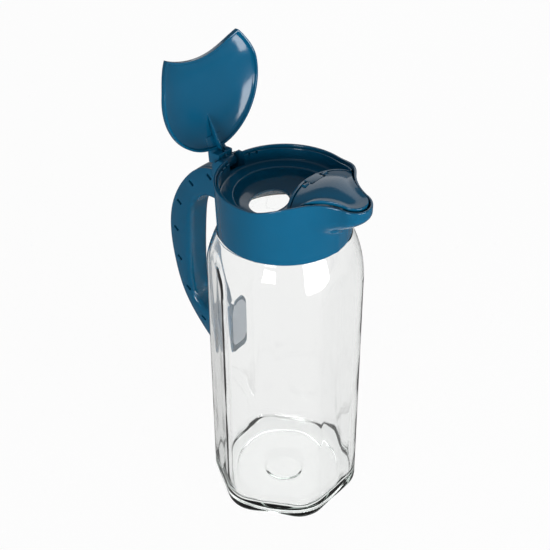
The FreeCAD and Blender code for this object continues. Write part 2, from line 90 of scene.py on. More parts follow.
def put_in_place(item, name, material, body, slot, *nodes, angle=30):
    """Names a finished piece, shades it and fastens it to its body in place of its CAD nodes."""
    item.name = name
    item.data.name = name
    item.data.materials.clear()
    item.data.materials.append(material)
    select_only(item)
    bpy.ops.object.transform_apply(location=True, rotation=True, scale=True)
    bpy.ops.object.shade_smooth_by_angle(angle=math.radians(angle))
    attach(item, body)
    if nodes:
        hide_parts(*nodes)
    low = [min(v.co[i] for v in item.data.vertices) / mm for i in range(3)]
    high = [max(v.co[i] for v in item.data.vertices) / mm for i in range(3)]
    print(name, len(item.data.polygons), "faces", [round(v, 1) for v in low], [round(v, 1) for v in high])


# %% [markdown]
# ## Materials
# The head is moulded in glossy dark petrol blue. Mouldings are never perfectly even, so the gloss
# varies a little, the surface has a very fine orange peel, and edges that hands rub are duller.


# %% Node helpers
def new_material(name, **sockets):
    material = bpy.data.materials.new(name)
    material.use_nodes = True
    shader = material.node_tree.nodes["Principled BSDF"]
    for socket, value in sockets.items():
        shader.inputs[socket.replace("_", " ")].default_value = value
    return material, material.node_tree, shader


def add_noise(tree, scale, detail=3.0, roughness=0.5):
    place = tree.nodes.new("ShaderNodeTexCoord")
    noise = tree.nodes.new("ShaderNodeTexNoise")
    noise.inputs["Scale"].default_value = scale
    noise.inputs["Detail"].default_value = detail
    noise.inputs["Roughness"].default_value = roughness
    tree.links.new(place.outputs["Object"], noise.inputs["Vector"])
    return noise.outputs["Fac"]


def remap(tree, source, low, high, from_low=0.3, from_high=0.7):
    node = tree.nodes.new("ShaderNodeMapRange")
    for socket, value in (("From Min", from_low), ("From Max", from_high), ("To Min", low), ("To Max", high)):
        node.inputs[socket].default_value = value
    tree.links.new(source, node.inputs["Value"])
    return node.outputs["Result"]


def blend_colours(tree, factor, first, second):
    node = tree.nodes.new("ShaderNodeMix")
    node.data_type = "RGBA"
    node.inputs["A"].default_value = first
    node.inputs["B"].default_value = second
    tree.links.new(factor, node.inputs["Factor"])
    return node.outputs["Result"]


def add_bump(tree, shader, height, strength, distance):
    bump = tree.nodes.new("ShaderNodeBump")
    bump.inputs["Strength"].default_value = strength
    bump.inputs["Distance"].default_value = distance
    tree.links.new(height, bump.inputs["Height"])
    tree.links.new(bump.outputs["Normal"], shader.inputs["Normal"])


# %% Moulded blue plastic
def moulded_plastic(name, first, second, gloss):
    material, tree, shader = new_material(name, IOR=1.5, Specular_IOR_Level=0.4)
    cloud = add_noise(tree, 28.0)
    tree.links.new(blend_colours(tree, remap(tree, cloud, 0.0, 1.0), first, second), shader.inputs["Base Color"])
    evenness = remap(tree, add_noise(tree, 90.0, 5.0), gloss, gloss + gloss_spread)
    edges = tree.nodes.new("ShaderNodeNewGeometry").outputs["Pointiness"]
    wear = tree.nodes.new("ShaderNodeMath")
    wear.operation = "ADD"
    tree.links.new(evenness, wear.inputs[0])
    tree.links.new(remap(tree, edges, 0.0, 0.12, 0.53, 0.62), wear.inputs[1])
    tree.links.new(wear.outputs["Value"], shader.inputs["Roughness"])
    add_bump(tree, shader, add_noise(tree, 420.0, 2.0), 0.05, 0.0004)
    return material


gloss_spread = 0.07
blue_plastic = moulded_plastic("blue_plastic", (0.001, 0.08, 0.164, 1), (0.002, 0.088, 0.18, 1), 0.1)
print("plastic gloss varies by", gloss_spread)


# %% Rubber, steel and glass
seal_rubber, tree, shader = new_material("seal_rubber", Base_Color=(0.6, 0.62, 0.62, 1))
tree.links.new(remap(tree, add_noise(tree, 200.0), 0.55, 0.75), shader.inputs["Roughness"])
add_bump(tree, shader, add_noise(tree, 900.0), 0.2, 0.0002)

bumper_rubber, tree, shader = new_material("bumper_rubber", Base_Color=(0.6, 0.66, 0.74, 1))
tree.links.new(remap(tree, add_noise(tree, 160.0), 0.5, 0.7), shader.inputs["Roughness"])
add_bump(tree, shader, add_noise(tree, 700.0), 0.2, 0.0002)

pin_steel, tree, shader = new_material("pin_steel", Base_Color=(0.6, 0.61, 0.63, 1), Metallic=1.0)
tree.links.new(remap(tree, add_noise(tree, 500.0), 0.25, 0.4), shader.inputs["Roughness"])
add_bump(tree, shader, add_noise(tree, 1400.0), 0.15, 0.0001)

clear_glass, tree, shader = new_material(
    "clear_glass", Base_Color=(0.975, 0.972, 0.972, 1), Transmission_Weight=1.0, IOR=1.5)
tree.links.new(remap(tree, add_noise(tree, 45.0), 0.0, 0.015), shader.inputs["Roughness"])
add_bump(tree, shader, add_noise(tree, 26.0, 1.0), 0.15, 0.0014)
depth = tree.nodes.new("ShaderNodeVolumeAbsorption")
depth.inputs["Color"].default_value = (0.79, 0.85, 0.82, 1)
depth.inputs["Density"].default_value = 26.0
tree.links.new(depth.outputs["Volume"], tree.nodes["Material Output"].inputs["Volume"])
print("materials:", len(bpy.data.materials))

for node, material in (("neck_gasket", seal_rubber), ("lid_hinge_pin", pin_steel), ("flap_hinge_pin", pin_steel),
                       ("collar", blue_plastic), ("pour_insert", blue_plastic), ("handle_frame", blue_plastic),
                       ("handle_spine", blue_plastic), ("lid", blue_plastic), ("spout_flap", blue_plastic)):
    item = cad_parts[node]
    item.data.materials.clear()
    item.data.materials.append(material)

# %% [markdown]
# ## Glass body
# A pressed jug starts as a gob that is pressed round and then flattened by the mould's six walls. It is
# made the same way here: a circle is extruded ring by ring into a turned bottle with a wall, and then
# each point is drawn in to the nearest flat. A soft minimum of the two radii leaves the rounded arches
# where the shoulder runs into the flats.

# %% Sizes of the glass
flats, base_growth, corner_radius = 100.0 * mm, 1.7 * mm, 22.7 * mm
shoulder_z, neck_top = 229.6 * mm, 252.0 * mm
glass_wall, heel_radius = 3.6 * mm, 6.0 * mm
segments = 288
cos30 = math.cos(math.radians(30))


def hexagon_radius(angle, z, inset):
    """Distance from the axis to the rounded hexagon, less an inset from its faces."""
    half = (flats + base_growth * (1 - z / shoulder_z)) / 2 - inset
    corner = max(corner_radius - inset, 1.0 * mm)
    away = abs((math.degrees(angle) % 60) - 30)
    centre = (half - corner) / cos30
    turn = math.radians(away)
    if centre * math.sin(turn) < corner * math.sin(math.radians(30) - turn) or away < 1e-6:
        return centre * math.cos(turn) + math.sqrt(corner ** 2 - (centre * math.sin(turn)) ** 2)
    return half / math.cos(math.radians(30) - turn)


def soft_minimum(a, b, softness):
    mix = max(softness - abs(a - b), 0.0) / softness
    return min(a, b) - mix * mix * softness / 4


print("corner reach", round(hexagon_radius(math.radians(30), 0.1, 0.0) / mm, 2), "mm")

# %% Profile of the turned bottle, from the middle of the base over the outside and down the inside
def circle_through(a, b, c):
    """Centre and radius of the circle through three (radius, z) points."""
    d = 2 * (a[0] * (b[1] - c[1]) + b[0] * (c[1] - a[1]) + c[0] * (a[1] - b[1]))
    squares = [p[0] ** 2 + p[1] ** 2 for p in (a, b, c)]
    x = (squares[0] * (b[1] - c[1]) + squares[1] * (c[1] - a[1]) + squares[2] * (a[1] - b[1])) / d
    y = (squares[0] * (c[0] - b[0]) + squares[1] * (a[0] - c[0]) + squares[2] * (b[0] - a[0])) / d
    return x, y, math.hypot(a[0] - x, a[1] - y)


def shoulder_radius(z, inset, neck):
    """Radius of the turned shoulder, which swings in from the flats to the neck."""
    foot = (54.92 * mm - inset, 196.0 * mm)
    arch = (50.0 * mm - inset, 216.8 * mm)
    top = (neck, shoulder_z)
    x, y, r = circle_through(foot, arch, top)
    if z < foot[1]:
        return foot[0] + (foot[1] - z) * 0.5
    if z >= shoulder_z:
        return neck
    return x + math.copysign(math.sqrt(max(r * r - (z - y) ** 2, 0.0)), foot[0] - x)


print("shoulder at 216.8 mm:", round(shoulder_radius(216.8 * mm, 0, 44.8 * mm) / mm, 2))

# %% Rings of the bottle as (turned radius, height, inset from the flats, how far the flats are pressed in)
rings = []


def add_rings(rows):
    rings.extend([(r * mm, z * mm, inset * mm, press) for r, z, inset, press in rows])


add_rings([(4, 0, 0, 0), (9, 0, 0, 0), (12.4, 0, 0, 0), (13, 0.15, 0, 0), (14.6, 1.1, 0, 0), (15.5, 1.4, 0, 0),
           (22, 1.4, 0, 0), (30, 1.4, 0, 0), (36, 1.4, 0, 0), (38.3, 1.4, 0, 0), (39.2, 1.1, 0, 0),
           (40.4, 0.2, 0, 0), (41, 0, 0, 0), (41.9, 0, 0, 0), (42.9, 0, 0, 0)])
for step in range(9):
    turn = math.radians(90 * step / 8)
    inset = heel_radius * (1 - math.sin(turn))
    rings.append((1.0, heel_radius * (1 - math.cos(turn)), inset, 1))
for z in (12, 24, 40, 60, 80, 100, 120, 140, 156, 168, 178, 186):
    rings.append((1.0, z * mm, 0.0, 1))
for step in range(31):
    z = (190.0 + (229.6 - 190.0) * step / 30) * mm
    rings.append((shoulder_radius(z, 0.0, 44.8 * mm), z, 0.0, 1))
add_rings([(43.9, 229.9, 0, 0), (43.1, 230.3, 0, 0), (43, 231, 0, 0), (43, 241, 0, 0), (43, 250.8, 0, 0),
           (42.7, 251.6, 0, 0), (42.0, 252, 0, 0), (41.2, 252, 0, 0), (40.4, 252, 0, 0), (39.8, 251.6, 0, 0),
           (39.5, 250.9, 0, 0), (39.5, 241, 0, 0), (39.6, 233, 0, 0), (40.2, 230, 0, 0)])
for step in range(28):
    z = (228.6 + (190.0 - 228.6) * step / 27) * mm
    rings.append((shoulder_radius(z, glass_wall, 41.0 * mm), z, glass_wall, 1))
for z in (186, 178, 168, 156, 140, 120, 100, 80, 60, 40, 26):
    rings.append((1.0, z * mm, glass_wall, 1))
floor_z, floor_radius = 9.0 * mm, 7.0 * mm
for step in range(9):
    turn = math.radians(90 * step / 8)
    rings.append((1.0, floor_z + floor_radius * (1 - math.sin(turn)),
                  glass_wall + floor_radius * (1 - math.cos(turn)), 1))
add_rings([(34, 8.8, 0, 0), (27, 8.5, 0, 0), (19, 8.3, 0, 0), (10, 8.2, 0, 0), (4, 8.2, 0, 0)])
print(len(rings), "rings")

# %% Turn the bottle, then press its flats
select_only()
first_radius = rings[0][0]
bpy.ops.mesh.primitive_circle_add(vertices=segments, radius=first_radius, fill_type="NGON", location=(0, 0, 0))
glass = bpy.context.object
bpy.ops.object.mode_set(mode="EDIT")
bpy.ops.mesh.select_mode(type="EDGE")
for (radius, z, inset, press), (last_radius, last_z, _, _) in zip(rings[1:], rings[:-1]):
    bpy.ops.mesh.extrude_edges_move(TRANSFORM_OT_translate={"value": (0, 0, z - last_z)})
    ratio = radius / last_radius
    bpy.ops.transform.resize(value=(ratio, ratio, 1), center_override=(0, 0, z))
bpy.ops.mesh.fill()
bpy.ops.object.mode_set(mode="OBJECT")
print("turned:", len(glass.data.vertices), "points")


def unevenness(angle, z):
    """Pressed glass is never quite even inside: long soft waves, which are strongest round the floor."""
    depth = 0.1 * mm + 0.75 * mm * max(1 - z / (30 * mm), 0.0)
    return depth * (math.sin(5 * angle + 1) + 0.7 * math.sin(11 * angle + 2) + 0.5 * math.sin(19 * angle)) / 2


rows = {}
for vertex in glass.data.vertices:
    rows.setdefault(vertex.index // segments, []).append(vertex)
for row, members in rows.items():
    turned, z, inset, press = rings[row]
    for vertex in members:
        angle = math.atan2(vertex.co.y, vertex.co.x)
        reach, height = turned, z
        if press:
            reach = hexagon_radius(angle, z, inset)
            if turned < 0.9:
                reach = soft_minimum(reach, turned, 1.6 * mm)
            if inset > glass_wall - 0.01 * mm:
                reach += unevenness(angle, z)
        elif z < 0.01 * mm and turned > 40.5 * mm and round(angle * segments / (2 * math.pi)) % 2:
            height = 0.45 * mm
        vertex.co = (reach * math.cos(angle), reach * math.sin(angle), height)
select_only(glass)
bpy.ops.object.mode_set(mode="EDIT")
bpy.ops.mesh.select_all(action="SELECT")
bpy.ops.mesh.normals_make_consistent(inside=False)
bpy.ops.object.mode_set(mode="OBJECT")
put_in_place(glass, "glass_vessel", clear_glass, "jug", "clear_glass", "glass_body", angle=60)

# %% [markdown]
# ## Shapes that the head's pieces share
# The collar, the pour insert, the lid and the flap all meet along the same rim. The rim is level at the
# back, swells beside the spout and falls a little to its tip, so its height is a function of the place.
# Each piece asks the same functions, and so they fit each other as the real mouldings do.


# %% Rim, lid and flap surfaces
def smooth_step(t):
    t = min(max(t, 0.0), 1.0)
    return t * t * (3 - 2 * t)


rim_z, rim_radius, spout_reach = 267.0 * mm, 46.0 * mm, 68.0 * mm
hinge_x, hinge_z = -52.2 * mm, 259.1 * mm
bridge_x, bridge_radius = 81.5 * mm, 61.6 * mm


def rim_height(x):
    rise = 7.0 * mm * smooth_step((x - 8.0 * mm) / (31.0 * mm))
    return rim_z + rise - 3.0 * mm * smooth_step((x - 39.0 * mm) / (39.0 * mm))


def flap_height(x, y):
    half_width = rim_radius / (1 + (x / (40.0 * mm)) ** 2)
    fall = 1 - (x / (72.0 * mm)) ** 2
    return rim_height(x) - 1.9 * mm + 9.0 * mm * fall * (1 - (y / half_width) ** 2)


print("rim at the back, beside the spout and at its tip:",
      [round(rim_height(x * mm) / mm, 1) for x in (-46, 39, 68)])


# %% Skin through rings of points
def skin(rings, close=False, cap=False):
    """Sets the points of a circle out along the first ring, then extrudes it from ring to ring."""
    select_only()
    bpy.ops.mesh.primitive_circle_add(vertices=len(rings[0]), radius=1.0)
    item = bpy.context.object
    bpy.ops.object.mode_set(mode="EDIT")
    bpy.ops.mesh.select_mode(type="EDGE")
    mesh = bmesh.from_edit_mesh(item.data)
    for vertex, point in zip(mesh.verts, rings[0]):
        vertex.co = point
    edge_of_skin = list(range(len(rings[0])))
    if cap:
        bpy.ops.mesh.edge_face_add()
    for ring in rings[1:]:
        bpy.ops.mesh.extrude_edges_move()
        mesh = bmesh.from_edit_mesh(item.data)
        mesh.verts.ensure_lookup_table()
        mesh.verts.index_update()
        follower = {}
        for vertex in mesh.verts:
            if vertex.select:
                for edge in vertex.link_edges:
                    neighbour = edge.other_vert(vertex)
                    if not neighbour.select:
                        follower[neighbour.index] = vertex.index
        edge_of_skin = [follower[i] for i in edge_of_skin]
        for index, point in zip(edge_of_skin, ring):
            mesh.verts[index].co = point
    if cap:
        bpy.ops.mesh.edge_face_add()
    bpy.ops.mesh.select_all(action="SELECT")
    if close:
        bpy.ops.mesh.remove_doubles(threshold=1e-6)
    bpy.ops.mesh.normals_make_consistent(inside=False)
    bpy.ops.object.mode_set(mode="OBJECT")
    return item


# %% Plates, blocks and cuts
def plate(outline, low, high, bevel=0.4 * mm, segments=3):
    """A plate of (x, z) corners, from y = low to y = high, with its edges rounded."""
    select_only()
    bpy.ops.mesh.primitive_circle_add(vertices=len(outline), radius=1.0, fill_type="NGON")
    item = bpy.context.object
    for vertex, (x, z) in zip(item.data.vertices, outline):
        vertex.co = (x, low, z)
    bpy.ops.object.mode_set(mode="EDIT")
    bpy.ops.mesh.select_all(action="SELECT")
    bpy.ops.mesh.extrude_region_move(TRANSFORM_OT_translate={"value": (0, high - low, 0)})
    bpy.ops.mesh.select_all(action="SELECT")
    bpy.ops.mesh.normals_make_consistent(inside=False)
    bpy.ops.object.mode_set(mode="OBJECT")
    if bevel:
        round_edges(item, bevel, segments)
    return item


def round_edges(item, width, segments=3, angle=30):
    bevel = item.modifiers.new("round", "BEVEL")
    bevel.width = width
    bevel.segments = segments
    bevel.limit_method = "ANGLE"
    bevel.angle_limit = math.radians(angle)
    apply_modifiers(item)


def block(low, high, bevel=0.3 * mm, segments=3):
    """A box between two corners, with its edges rounded."""
    select_only()
    size = [b - a for a, b in zip(low, high)]
    bpy.ops.mesh.primitive_cube_add(size=1.0, location=[(a + b) / 2 for a, b in zip(low, high)], scale=size)
    item = bpy.context.object
    bpy.ops.object.transform_apply(location=True, rotation=True, scale=True)
    if bevel:
        round_edges(item, bevel, segments)
    return item


def cut(item, tool):
    boolean = item.modifiers.new("cut", "BOOLEAN")
    boolean.operation = "DIFFERENCE"
    boolean.solver = "EXACT"
    boolean.object = tool
    apply_modifiers(item)
    bpy.data.objects.remove(tool)


def join(*pieces):
    select_only(*pieces)
    bpy.ops.object.join()
    return bpy.context.object


# %% [markdown]
# ## Collar and spout
# The collar is one moulding: a round skirt on the glass neck whose front swells out into a spout. Its
# plan is a large circle and a small tip circle, joined by two hollow flanks. The spout grows out of the
# round skirt from ring to ring, so the skin runs up the outside, over the rounded rim, down the inside
# of the spout's channel and back along the bore.

# %% Plan of the collar
back_count, flank_count, tip_count = 132, 26, 36
ring_count = back_count + 2 * flank_count + tip_count
collar_bottom = 230.0 * mm


def spout_point(i, z, inset=0.0, lift=0.0):
    """Point i of the collar's plan at height z, drawn in by inset; the spout starts higher by lift."""
    level = z - collar_bottom - lift
    circle = 45.0 * mm + 1.0 * mm * min(max(level / (37.0 * mm), 0.0), 1.0)
    blend = smooth_step((level - 14.0 * mm) / (22.5 * mm))
    reach = circle + 0.4 * mm + (spout_reach - circle - 0.4 * mm) * blend - inset
    circle -= inset
    tip, flank = 12.5 * mm - inset, 36.0 * mm + inset
    tip_x, far, near = reach - tip, circle + flank, tip + flank
    flank_x = (far ** 2 - near ** 2 + tip_x ** 2) / (2 * tip_x)
    flank_y = math.sqrt(far ** 2 - flank_x ** 2)
    on_circle = math.atan2(flank_y, flank_x)
    on_tip = math.atan2(flank_y, flank_x - tip_x)
    from_circle, from_tip = math.atan2(flank_y, -flank_x), math.atan2(flank_y, tip_x - flank_x)
    if i < back_count:
        angle = on_circle + (2 * math.pi - 2 * on_circle) * i / back_count
        return circle * math.cos(angle), circle * math.sin(angle)
    i -= back_count
    if i < flank_count:
        angle = from_circle + (from_tip - from_circle) * i / flank_count
        return flank_x + flank * math.cos(angle), -flank_y + flank * math.sin(angle)
    i -= flank_count
    if i < tip_count:
        angle = -on_tip + 2 * on_tip * i / tip_count
        return tip_x + tip * math.cos(angle), tip * math.sin(angle)
    i -= tip_count
    angle = -from_tip + (from_tip - from_circle) * i / flank_count
    return flank_x + flank * math.cos(angle), flank_y + flank * math.sin(angle)


def rim_ring(share, inset, lift=0.0, drop=0.0, low=collar_bottom):
    """Ring of the collar at a share of the way from low to the rim, less a drop."""
    ring = []
    for i in range(ring_count):
        z = rim_z
        for _ in range(4):
            x, y = spout_point(i, z, inset, lift)
            z = low + share * (rim_height(x) - drop - low)
        ring.append((x, y, z))
    return ring


print("points in a ring:", ring_count)

# %% Skin of the collar
bore, rim_wall, channel_floor = 43.3 * mm, 1.6 * mm, 254.5 * mm
rings = []
for inset, rise in ((1.7, 0.0), (1.1, 0.0), (0.45, 0.0), (0.13, 0.13), (0.0, 0.45)):
    rings.append([(*spout_point(i, collar_bottom, inset * mm), collar_bottom + rise * mm) for i in range(ring_count)])
for step in range(26):
    rings.append(rim_ring(0.04 + 0.92 * step / 25, 0.0))
for inset, drop in ((0, 0.7), (0.05, 0.38), (0.2, 0.12), (0.45, 0), (0.8, 0), (1.15, 0), (1.4, 0.12), (1.55, 0.38),
                    (1.6, 0.7)):
    rings.append(rim_ring(1.0, inset * mm, 0.0, drop * mm))
for step in range(9):
    rings.append(rim_ring(0.92 - 0.92 * step / 8, rim_wall, 2.0 * mm, 0.0, channel_floor))
inner = rings[-1]
for share in (0.5, 1.0):
    ring = []
    for x, y, z in inner:
        reach = math.hypot(x, y)
        wanted = reach + (bore - reach) * share
        ring.append((x * wanted / reach, y * wanted / reach, channel_floor))
    rings.append(ring)
for z in (250.0, 240.0, 230.0):
    rings.append([(x, y, z * mm) for x, y, _ in rings[-1]])
rings[-1] = [(x * bore / math.hypot(x, y), y * bore / math.hypot(x, y), collar_bottom) for x, y, z in rings[0]]
rings[0] = rings[-1]
collar = skin(rings, close=True)
ear_inside = 7.3 * mm
cut(collar, block((-60 * mm, -ear_inside, 254.6 * mm), (-41.4 * mm, ear_inside, 300 * mm), bevel=0))
print("collar points:", len(collar.data.vertices))

# %% Hinge ears and the boss that carries the handle
ear = [(-56.2, 251.1), (-56.2, 259.1)]
for step in range(1, 9):
    turn = math.radians(180 - 90 * step / 8)
    ear.append((-52.2 + 4.0 * math.cos(turn), 259.1 + 4.0 * math.sin(turn)))
ear += [(-50.0, 265.4), (-45.3, 265.4), (-45.3, 251.1)]
ear = [(x * mm, z * mm) for x, z in ear]
ears = [plate(ear, 7.3 * mm, 10.3 * mm), plate(ear, -10.3 * mm, -7.3 * mm)]
boss = block((-48.6 * mm, -8.5 * mm, 230.0 * mm), (-44.0 * mm, 8.5 * mm, 254.6 * mm), 0.5 * mm)
collar = join(collar, boss, *ears)
put_in_place(collar, "pour_collar", blue_plastic, "head", "blue_plastic", "collar", angle=35)

# %% [markdown]
# ## Pour insert
# The insert is a cup inside the collar: a thin wall up to the lid's seat, a flat ledge, and a well that
# falls to a large hole for ice-free pouring. It is turned from rings as well, and only the last rings
# change from circles to the hole's oval.

# %% Rings of the insert
insert_count = 192
insert_radius, insert_wall, ledge_z = 44.1 * mm, 1.5 * mm, 256.0 * mm
well_low, well_high = 243.5 * mm, 247.0 * mm
hole_x, hole_half_length, hole_half_width = -13.6 * mm, 11.2 * mm, 16.0 * mm


def circle_ring(radius, z, count=insert_count):
    points = []
    for i in range(count):
        angle = 2 * math.pi * i / count
        points.append((radius * math.cos(angle), radius * math.sin(angle), z))
    return points


def wall_top(x, y):
    """Top of the insert's wall: the lid's seat, and cut down to the ledge in front of the bridge."""
    seat = rim_height(x) - 1.9 * mm
    return seat + (ledge_z + 0.8 * mm - seat) * smooth_step((x - 29.4 * mm) / (1.2 * mm))


def wall_ring(radius, drop):
    return [(x, y, wall_top(x, y) - drop) for x, y, _ in circle_ring(radius, 0.0)]


def well_height(radius):
    share = min(max((radius - 13.0 * mm) / (16.0 * mm), 0.0), 1.0)
    return well_low + (well_high - well_low) * share ** 2


def well_ring(share, grow, drop):
    """Ring between the oval hole and the well's edge, at a share of the way out."""
    ring = []
    for i in range(insert_count):
        angle = 2 * math.pi * i / insert_count
        near_x = hole_x + (hole_half_length + grow) * math.cos(angle)
        near_y = (hole_half_width + grow) * math.sin(angle)
        edge_x, edge_y = 29.0 * mm * math.cos(angle), 29.0 * mm * math.sin(angle)
        x, y = near_x + (edge_x - near_x) * share, near_y + (edge_y - near_y) * share
        ring.append((x, y, well_height(math.hypot(x, y)) - drop))
    return ring


rings = [circle_ring(insert_radius, 253.5 * mm), wall_ring(insert_radius, 0.4 * mm)]
rings += [wall_ring(insert_radius - inset * mm, drop * mm) for inset, drop in ((0.12, 0.12), (0.4, 0), (1.1, 0),
                                                                              (1.38, 0.12), (1.5, 0.4))]
rings += [circle_ring(r * mm, z * mm) for r, z in (
    (42.6, 257.4), (42.4, 256.7), (41.9, 256.2), (41.0, 256), (38, 256), (34.9, 256), (34.3, 256.12), (33.9, 256.1),
    (33.55, 255.85), (33.3, 255.3), (33.0, 253.6), (32.6, 251.6), (32.0, 249.8), (31.2, 248.4), (30.2, 247.5))]
rings += [well_ring(share, 0.0, 0.0) for share in (1.0, 0.88, 0.76, 0.64, 0.52, 0.4, 0.28, 0.16, 0.06)]
rings += [well_ring(0, 0.35 * mm, 0), well_ring(0, 0.1 * mm, 0.1 * mm), well_ring(0, 0, 0.4 * mm),
          well_ring(0, 0, 1.8 * mm)]
rings += [well_ring(share, 0.0, 1.8 * mm) for share in (0.1, 0.3, 0.6, 1.0)]
rings += [circle_ring(r * mm, z * mm) for r, z in ((32.6, 247), (34.2, 249.6), (34.8, 253.5), (40, 253.5),
                                                  (44.1, 253.5))]
insert = skin(rings, close=True)
print("insert points:", len(insert.data.vertices))

# %% Room for the hinge, and the toothed edge beside it
cut(insert, block((-60 * mm, -ear_inside, 257.0 * mm), (-36.1 * mm, ear_inside, 300 * mm), bevel=0))
for turn in (-22.5, -15.0, 15.0, 22.5):
    tooth = block((-47 * mm, -0.8 * mm, 263.5 * mm), (-40 * mm, 0.8 * mm, 268 * mm), bevel=0)
    tooth.data.transform(Matrix.Rotation(math.radians(turn), 4, "Z"))
    cut(insert, tooth)

# %% Bridge behind the flap, with the tab that holds the flap's pin
rings = []
for step in range(49):
    turn = math.radians(-31.2 + 62.4 * step / 48)
    ring = []
    for out, up in ((0.3, 0), (1.7, 0), (1.93, -0.07), (2, -0.3), (2, -5.4), (0, -5.4), (0, -0.3), (0.07, -0.07)):
        radius = bridge_radius - out * mm
        x, y = bridge_x - radius * math.cos(turn), radius * math.sin(turn)
        ring.append((x, y, flap_height(x, y) + (0.4 + up) * mm))
    rings.append(ring)
bridge = skin(rings, cap=True)
tab_low, tab_high = flap_height(27.0 * mm, 0) - 4.6 * mm, flap_height(25.0 * mm, 0)
tab = block((21.0 * mm, -6.0 * mm, tab_low), (27.7 * mm, 6.0 * mm, tab_high), 0.5 * mm)
insert = join(insert, bridge, tab)
put_in_place(insert, "pour_cup", blue_plastic, "head", "blue_plastic", "pour_insert", angle=35)

# %% [markdown]
# ## Lid
# The lid is a half-moon dome: round behind, and hollow in front where it meets the bridge. It is drawn
# shut, where its place is easy to state, and then turned up about the hinge to stand as photographed.
# Its skin runs from the middle of the top out over the edge, down the skirt and back under the dome.

# %% Plan of the lid
lid_radius, lid_front_radius = 43.2 * mm, 62.0 * mm
lid_back_count, lid_front_count = 112, 48
lid_middle = (-9.0 * mm, 0.0)
lid_edge, lid_rise, lid_plate = 1.6 * mm, 5.8 * mm, 1.5 * mm
lid_skirt, lid_fillet = 1.5 * mm, 1.3 * mm


def lid_point(i, inset):
    """Point i of the half-moon, drawn in by inset all round."""
    back, front = lid_radius - inset, lid_front_radius + inset
    tip_x = (back ** 2 - front ** 2 + bridge_x ** 2) / (2 * bridge_x)
    tip_y = math.sqrt(back ** 2 - tip_x ** 2)
    start = math.atan2(tip_y, tip_x)
    if i < lid_back_count:
        angle = start + (2 * math.pi - 2 * start) * i / lid_back_count
        return back * math.cos(angle), back * math.sin(angle)
    hollow = math.asin(tip_y / front)
    angle = -hollow + 2 * hollow * (i - lid_back_count) / lid_front_count
    return bridge_x - front * math.cos(angle), front * math.sin(angle)


def lid_ring(inset, share, height):
    """Ring of the lid at a share of the way out from its middle."""
    ring = []
    for i in range(lid_back_count + lid_front_count):
        edge_x, edge_y = lid_point(i, inset)
        x = lid_middle[0] + (edge_x - lid_middle[0]) * share
        y = edge_y * share
        ring.append((x, y, height(x, y)))
    return ring


def lid_top(x, y):
    from_middle = (x * x + y * y) / lid_radius ** 2
    return rim_height(x) + lid_edge + lid_rise * (1 - from_middle ** 2)


def lid_under(x, y):
    return lid_top(x, y) - lid_plate


def skirt_ring(inset, depth):
    """Ring of the skirt, drawn in by inset, at an even depth under the dome's edge."""
    ring = []
    for i in range(lid_back_count + lid_front_count):
        x, y = lid_point(i, inset * mm)
        ring.append((x, y, lid_top(*lid_point(i, 0.0)) - depth * mm))
    return ring


# %% Skin of the lid
rings = [lid_ring(0.0, share, lid_top) for share in (0.03, 0.1, 0.2, 0.3, 0.4, 0.5, 0.6, 0.7, 0.8, 0.88, 0.94, 0.975)]
rings += [lid_ring(0.35 * mm, 1.0, lid_top), lid_ring(0.1 * mm, 1.0, lambda x, y: lid_top(x, y) - 0.1 * mm),
          lid_ring(0, 1, lambda x, y: lid_top(x, y) - 0.35 * mm)]
rings += [skirt_ring(inset, depth) for inset, depth in ((0, 1.0), (0, 2.5), (0, 2.95), (0.1, 3.13), (0.3, 3.2),
                                                       (1.2, 3.2), (1.4, 3.13), (1.5, 2.98))]
for step in range(8):
    turn = math.radians(90 * step / 7)
    drop = lid_fillet * (1 - math.sin(turn))
    rings.append(lid_ring(lid_skirt + lid_fillet * (1 - math.cos(turn)), 1.0,
                          lambda x, y: lid_under(x, y) - drop))
rings += [lid_ring(lid_skirt + lid_fillet, share, lid_under)
          for share in (0.985, 0.95, 0.9, 0.8, 0.7, 0.6, 0.5, 0.4, 0.3, 0.2, 0.1, 0.03)]
lid = skin(rings, cap=True)
print("lid points:", len(lid.data.vertices))

# %% Hinge arm, barrel and rib
arm = [(-52.2, 269.2), (-43.9, 269.3), (-34.9, 271.3), (-34.9, 269.8), (-41.5, 267.2), (-43.9, 265.4), (-44.3, 265.0),
       (-44.3, 259.3), (-52.2, 259.3)]
arm = plate([(x * mm, z * mm) for x, z in arm], -6.8 * mm, 6.8 * mm, 0.5 * mm)
select_only()
bpy.ops.mesh.primitive_cylinder_add(vertices=48, radius=4.0 * mm, depth=13.6 * mm, location=(hinge_x, 0, hinge_z),
                                    rotation=(math.pi / 2, 0, 0))
barrel = bpy.context.object
bpy.ops.object.transform_apply(location=True, rotation=True, scale=True)
round_edges(barrel, 0.4 * mm, 3, 60)
rib_end = lid_under(-20.0 * mm, 0) / mm
rib = [(-41.6, 268.0), (-20.0, rib_end + 0.4), (-20.0, rib_end - 0.1), (-39.0, 263.6), (-44.3, 260.4), (-47.7, 257.9),
       (-47.7, 260.0), (-43.8, 260.0), (-43.0, 266.0)]
rib = plate([(x * mm, z * mm) for x, z in rib], -0.7 * mm, 0.7 * mm, 0.25 * mm)
lid = join(lid, arm, barrel, rib)

# %% Turn the lid up about its hinge
lid.data.transform(Matrix.Translation((hinge_x, 0, hinge_z)) @ Matrix.Rotation(math.radians(-93.5), 4, "Y")
                   @ Matrix.Translation((-hinge_x, 0, -hinge_z)))
put_in_place(lid, "jug_lid", blue_plastic, "lid", "blue_plastic", "lid", angle=35)

# %% [markdown]
# ## Spout flap
# The flap fills the rim's plan in front of the bridge with a narrow dark gap all round. It is a crowned
# plate, so it is skinned like the lid, and the notch for the hinge tab is cut out of it afterwards.

# %% Plan of the flap
flap_side_count, flap_back_count = 96, 48
flap_edge_radius, flap_gap = 59.0 * mm, 1.35 * mm
flap_middle = (44.0 * mm, 0.0)


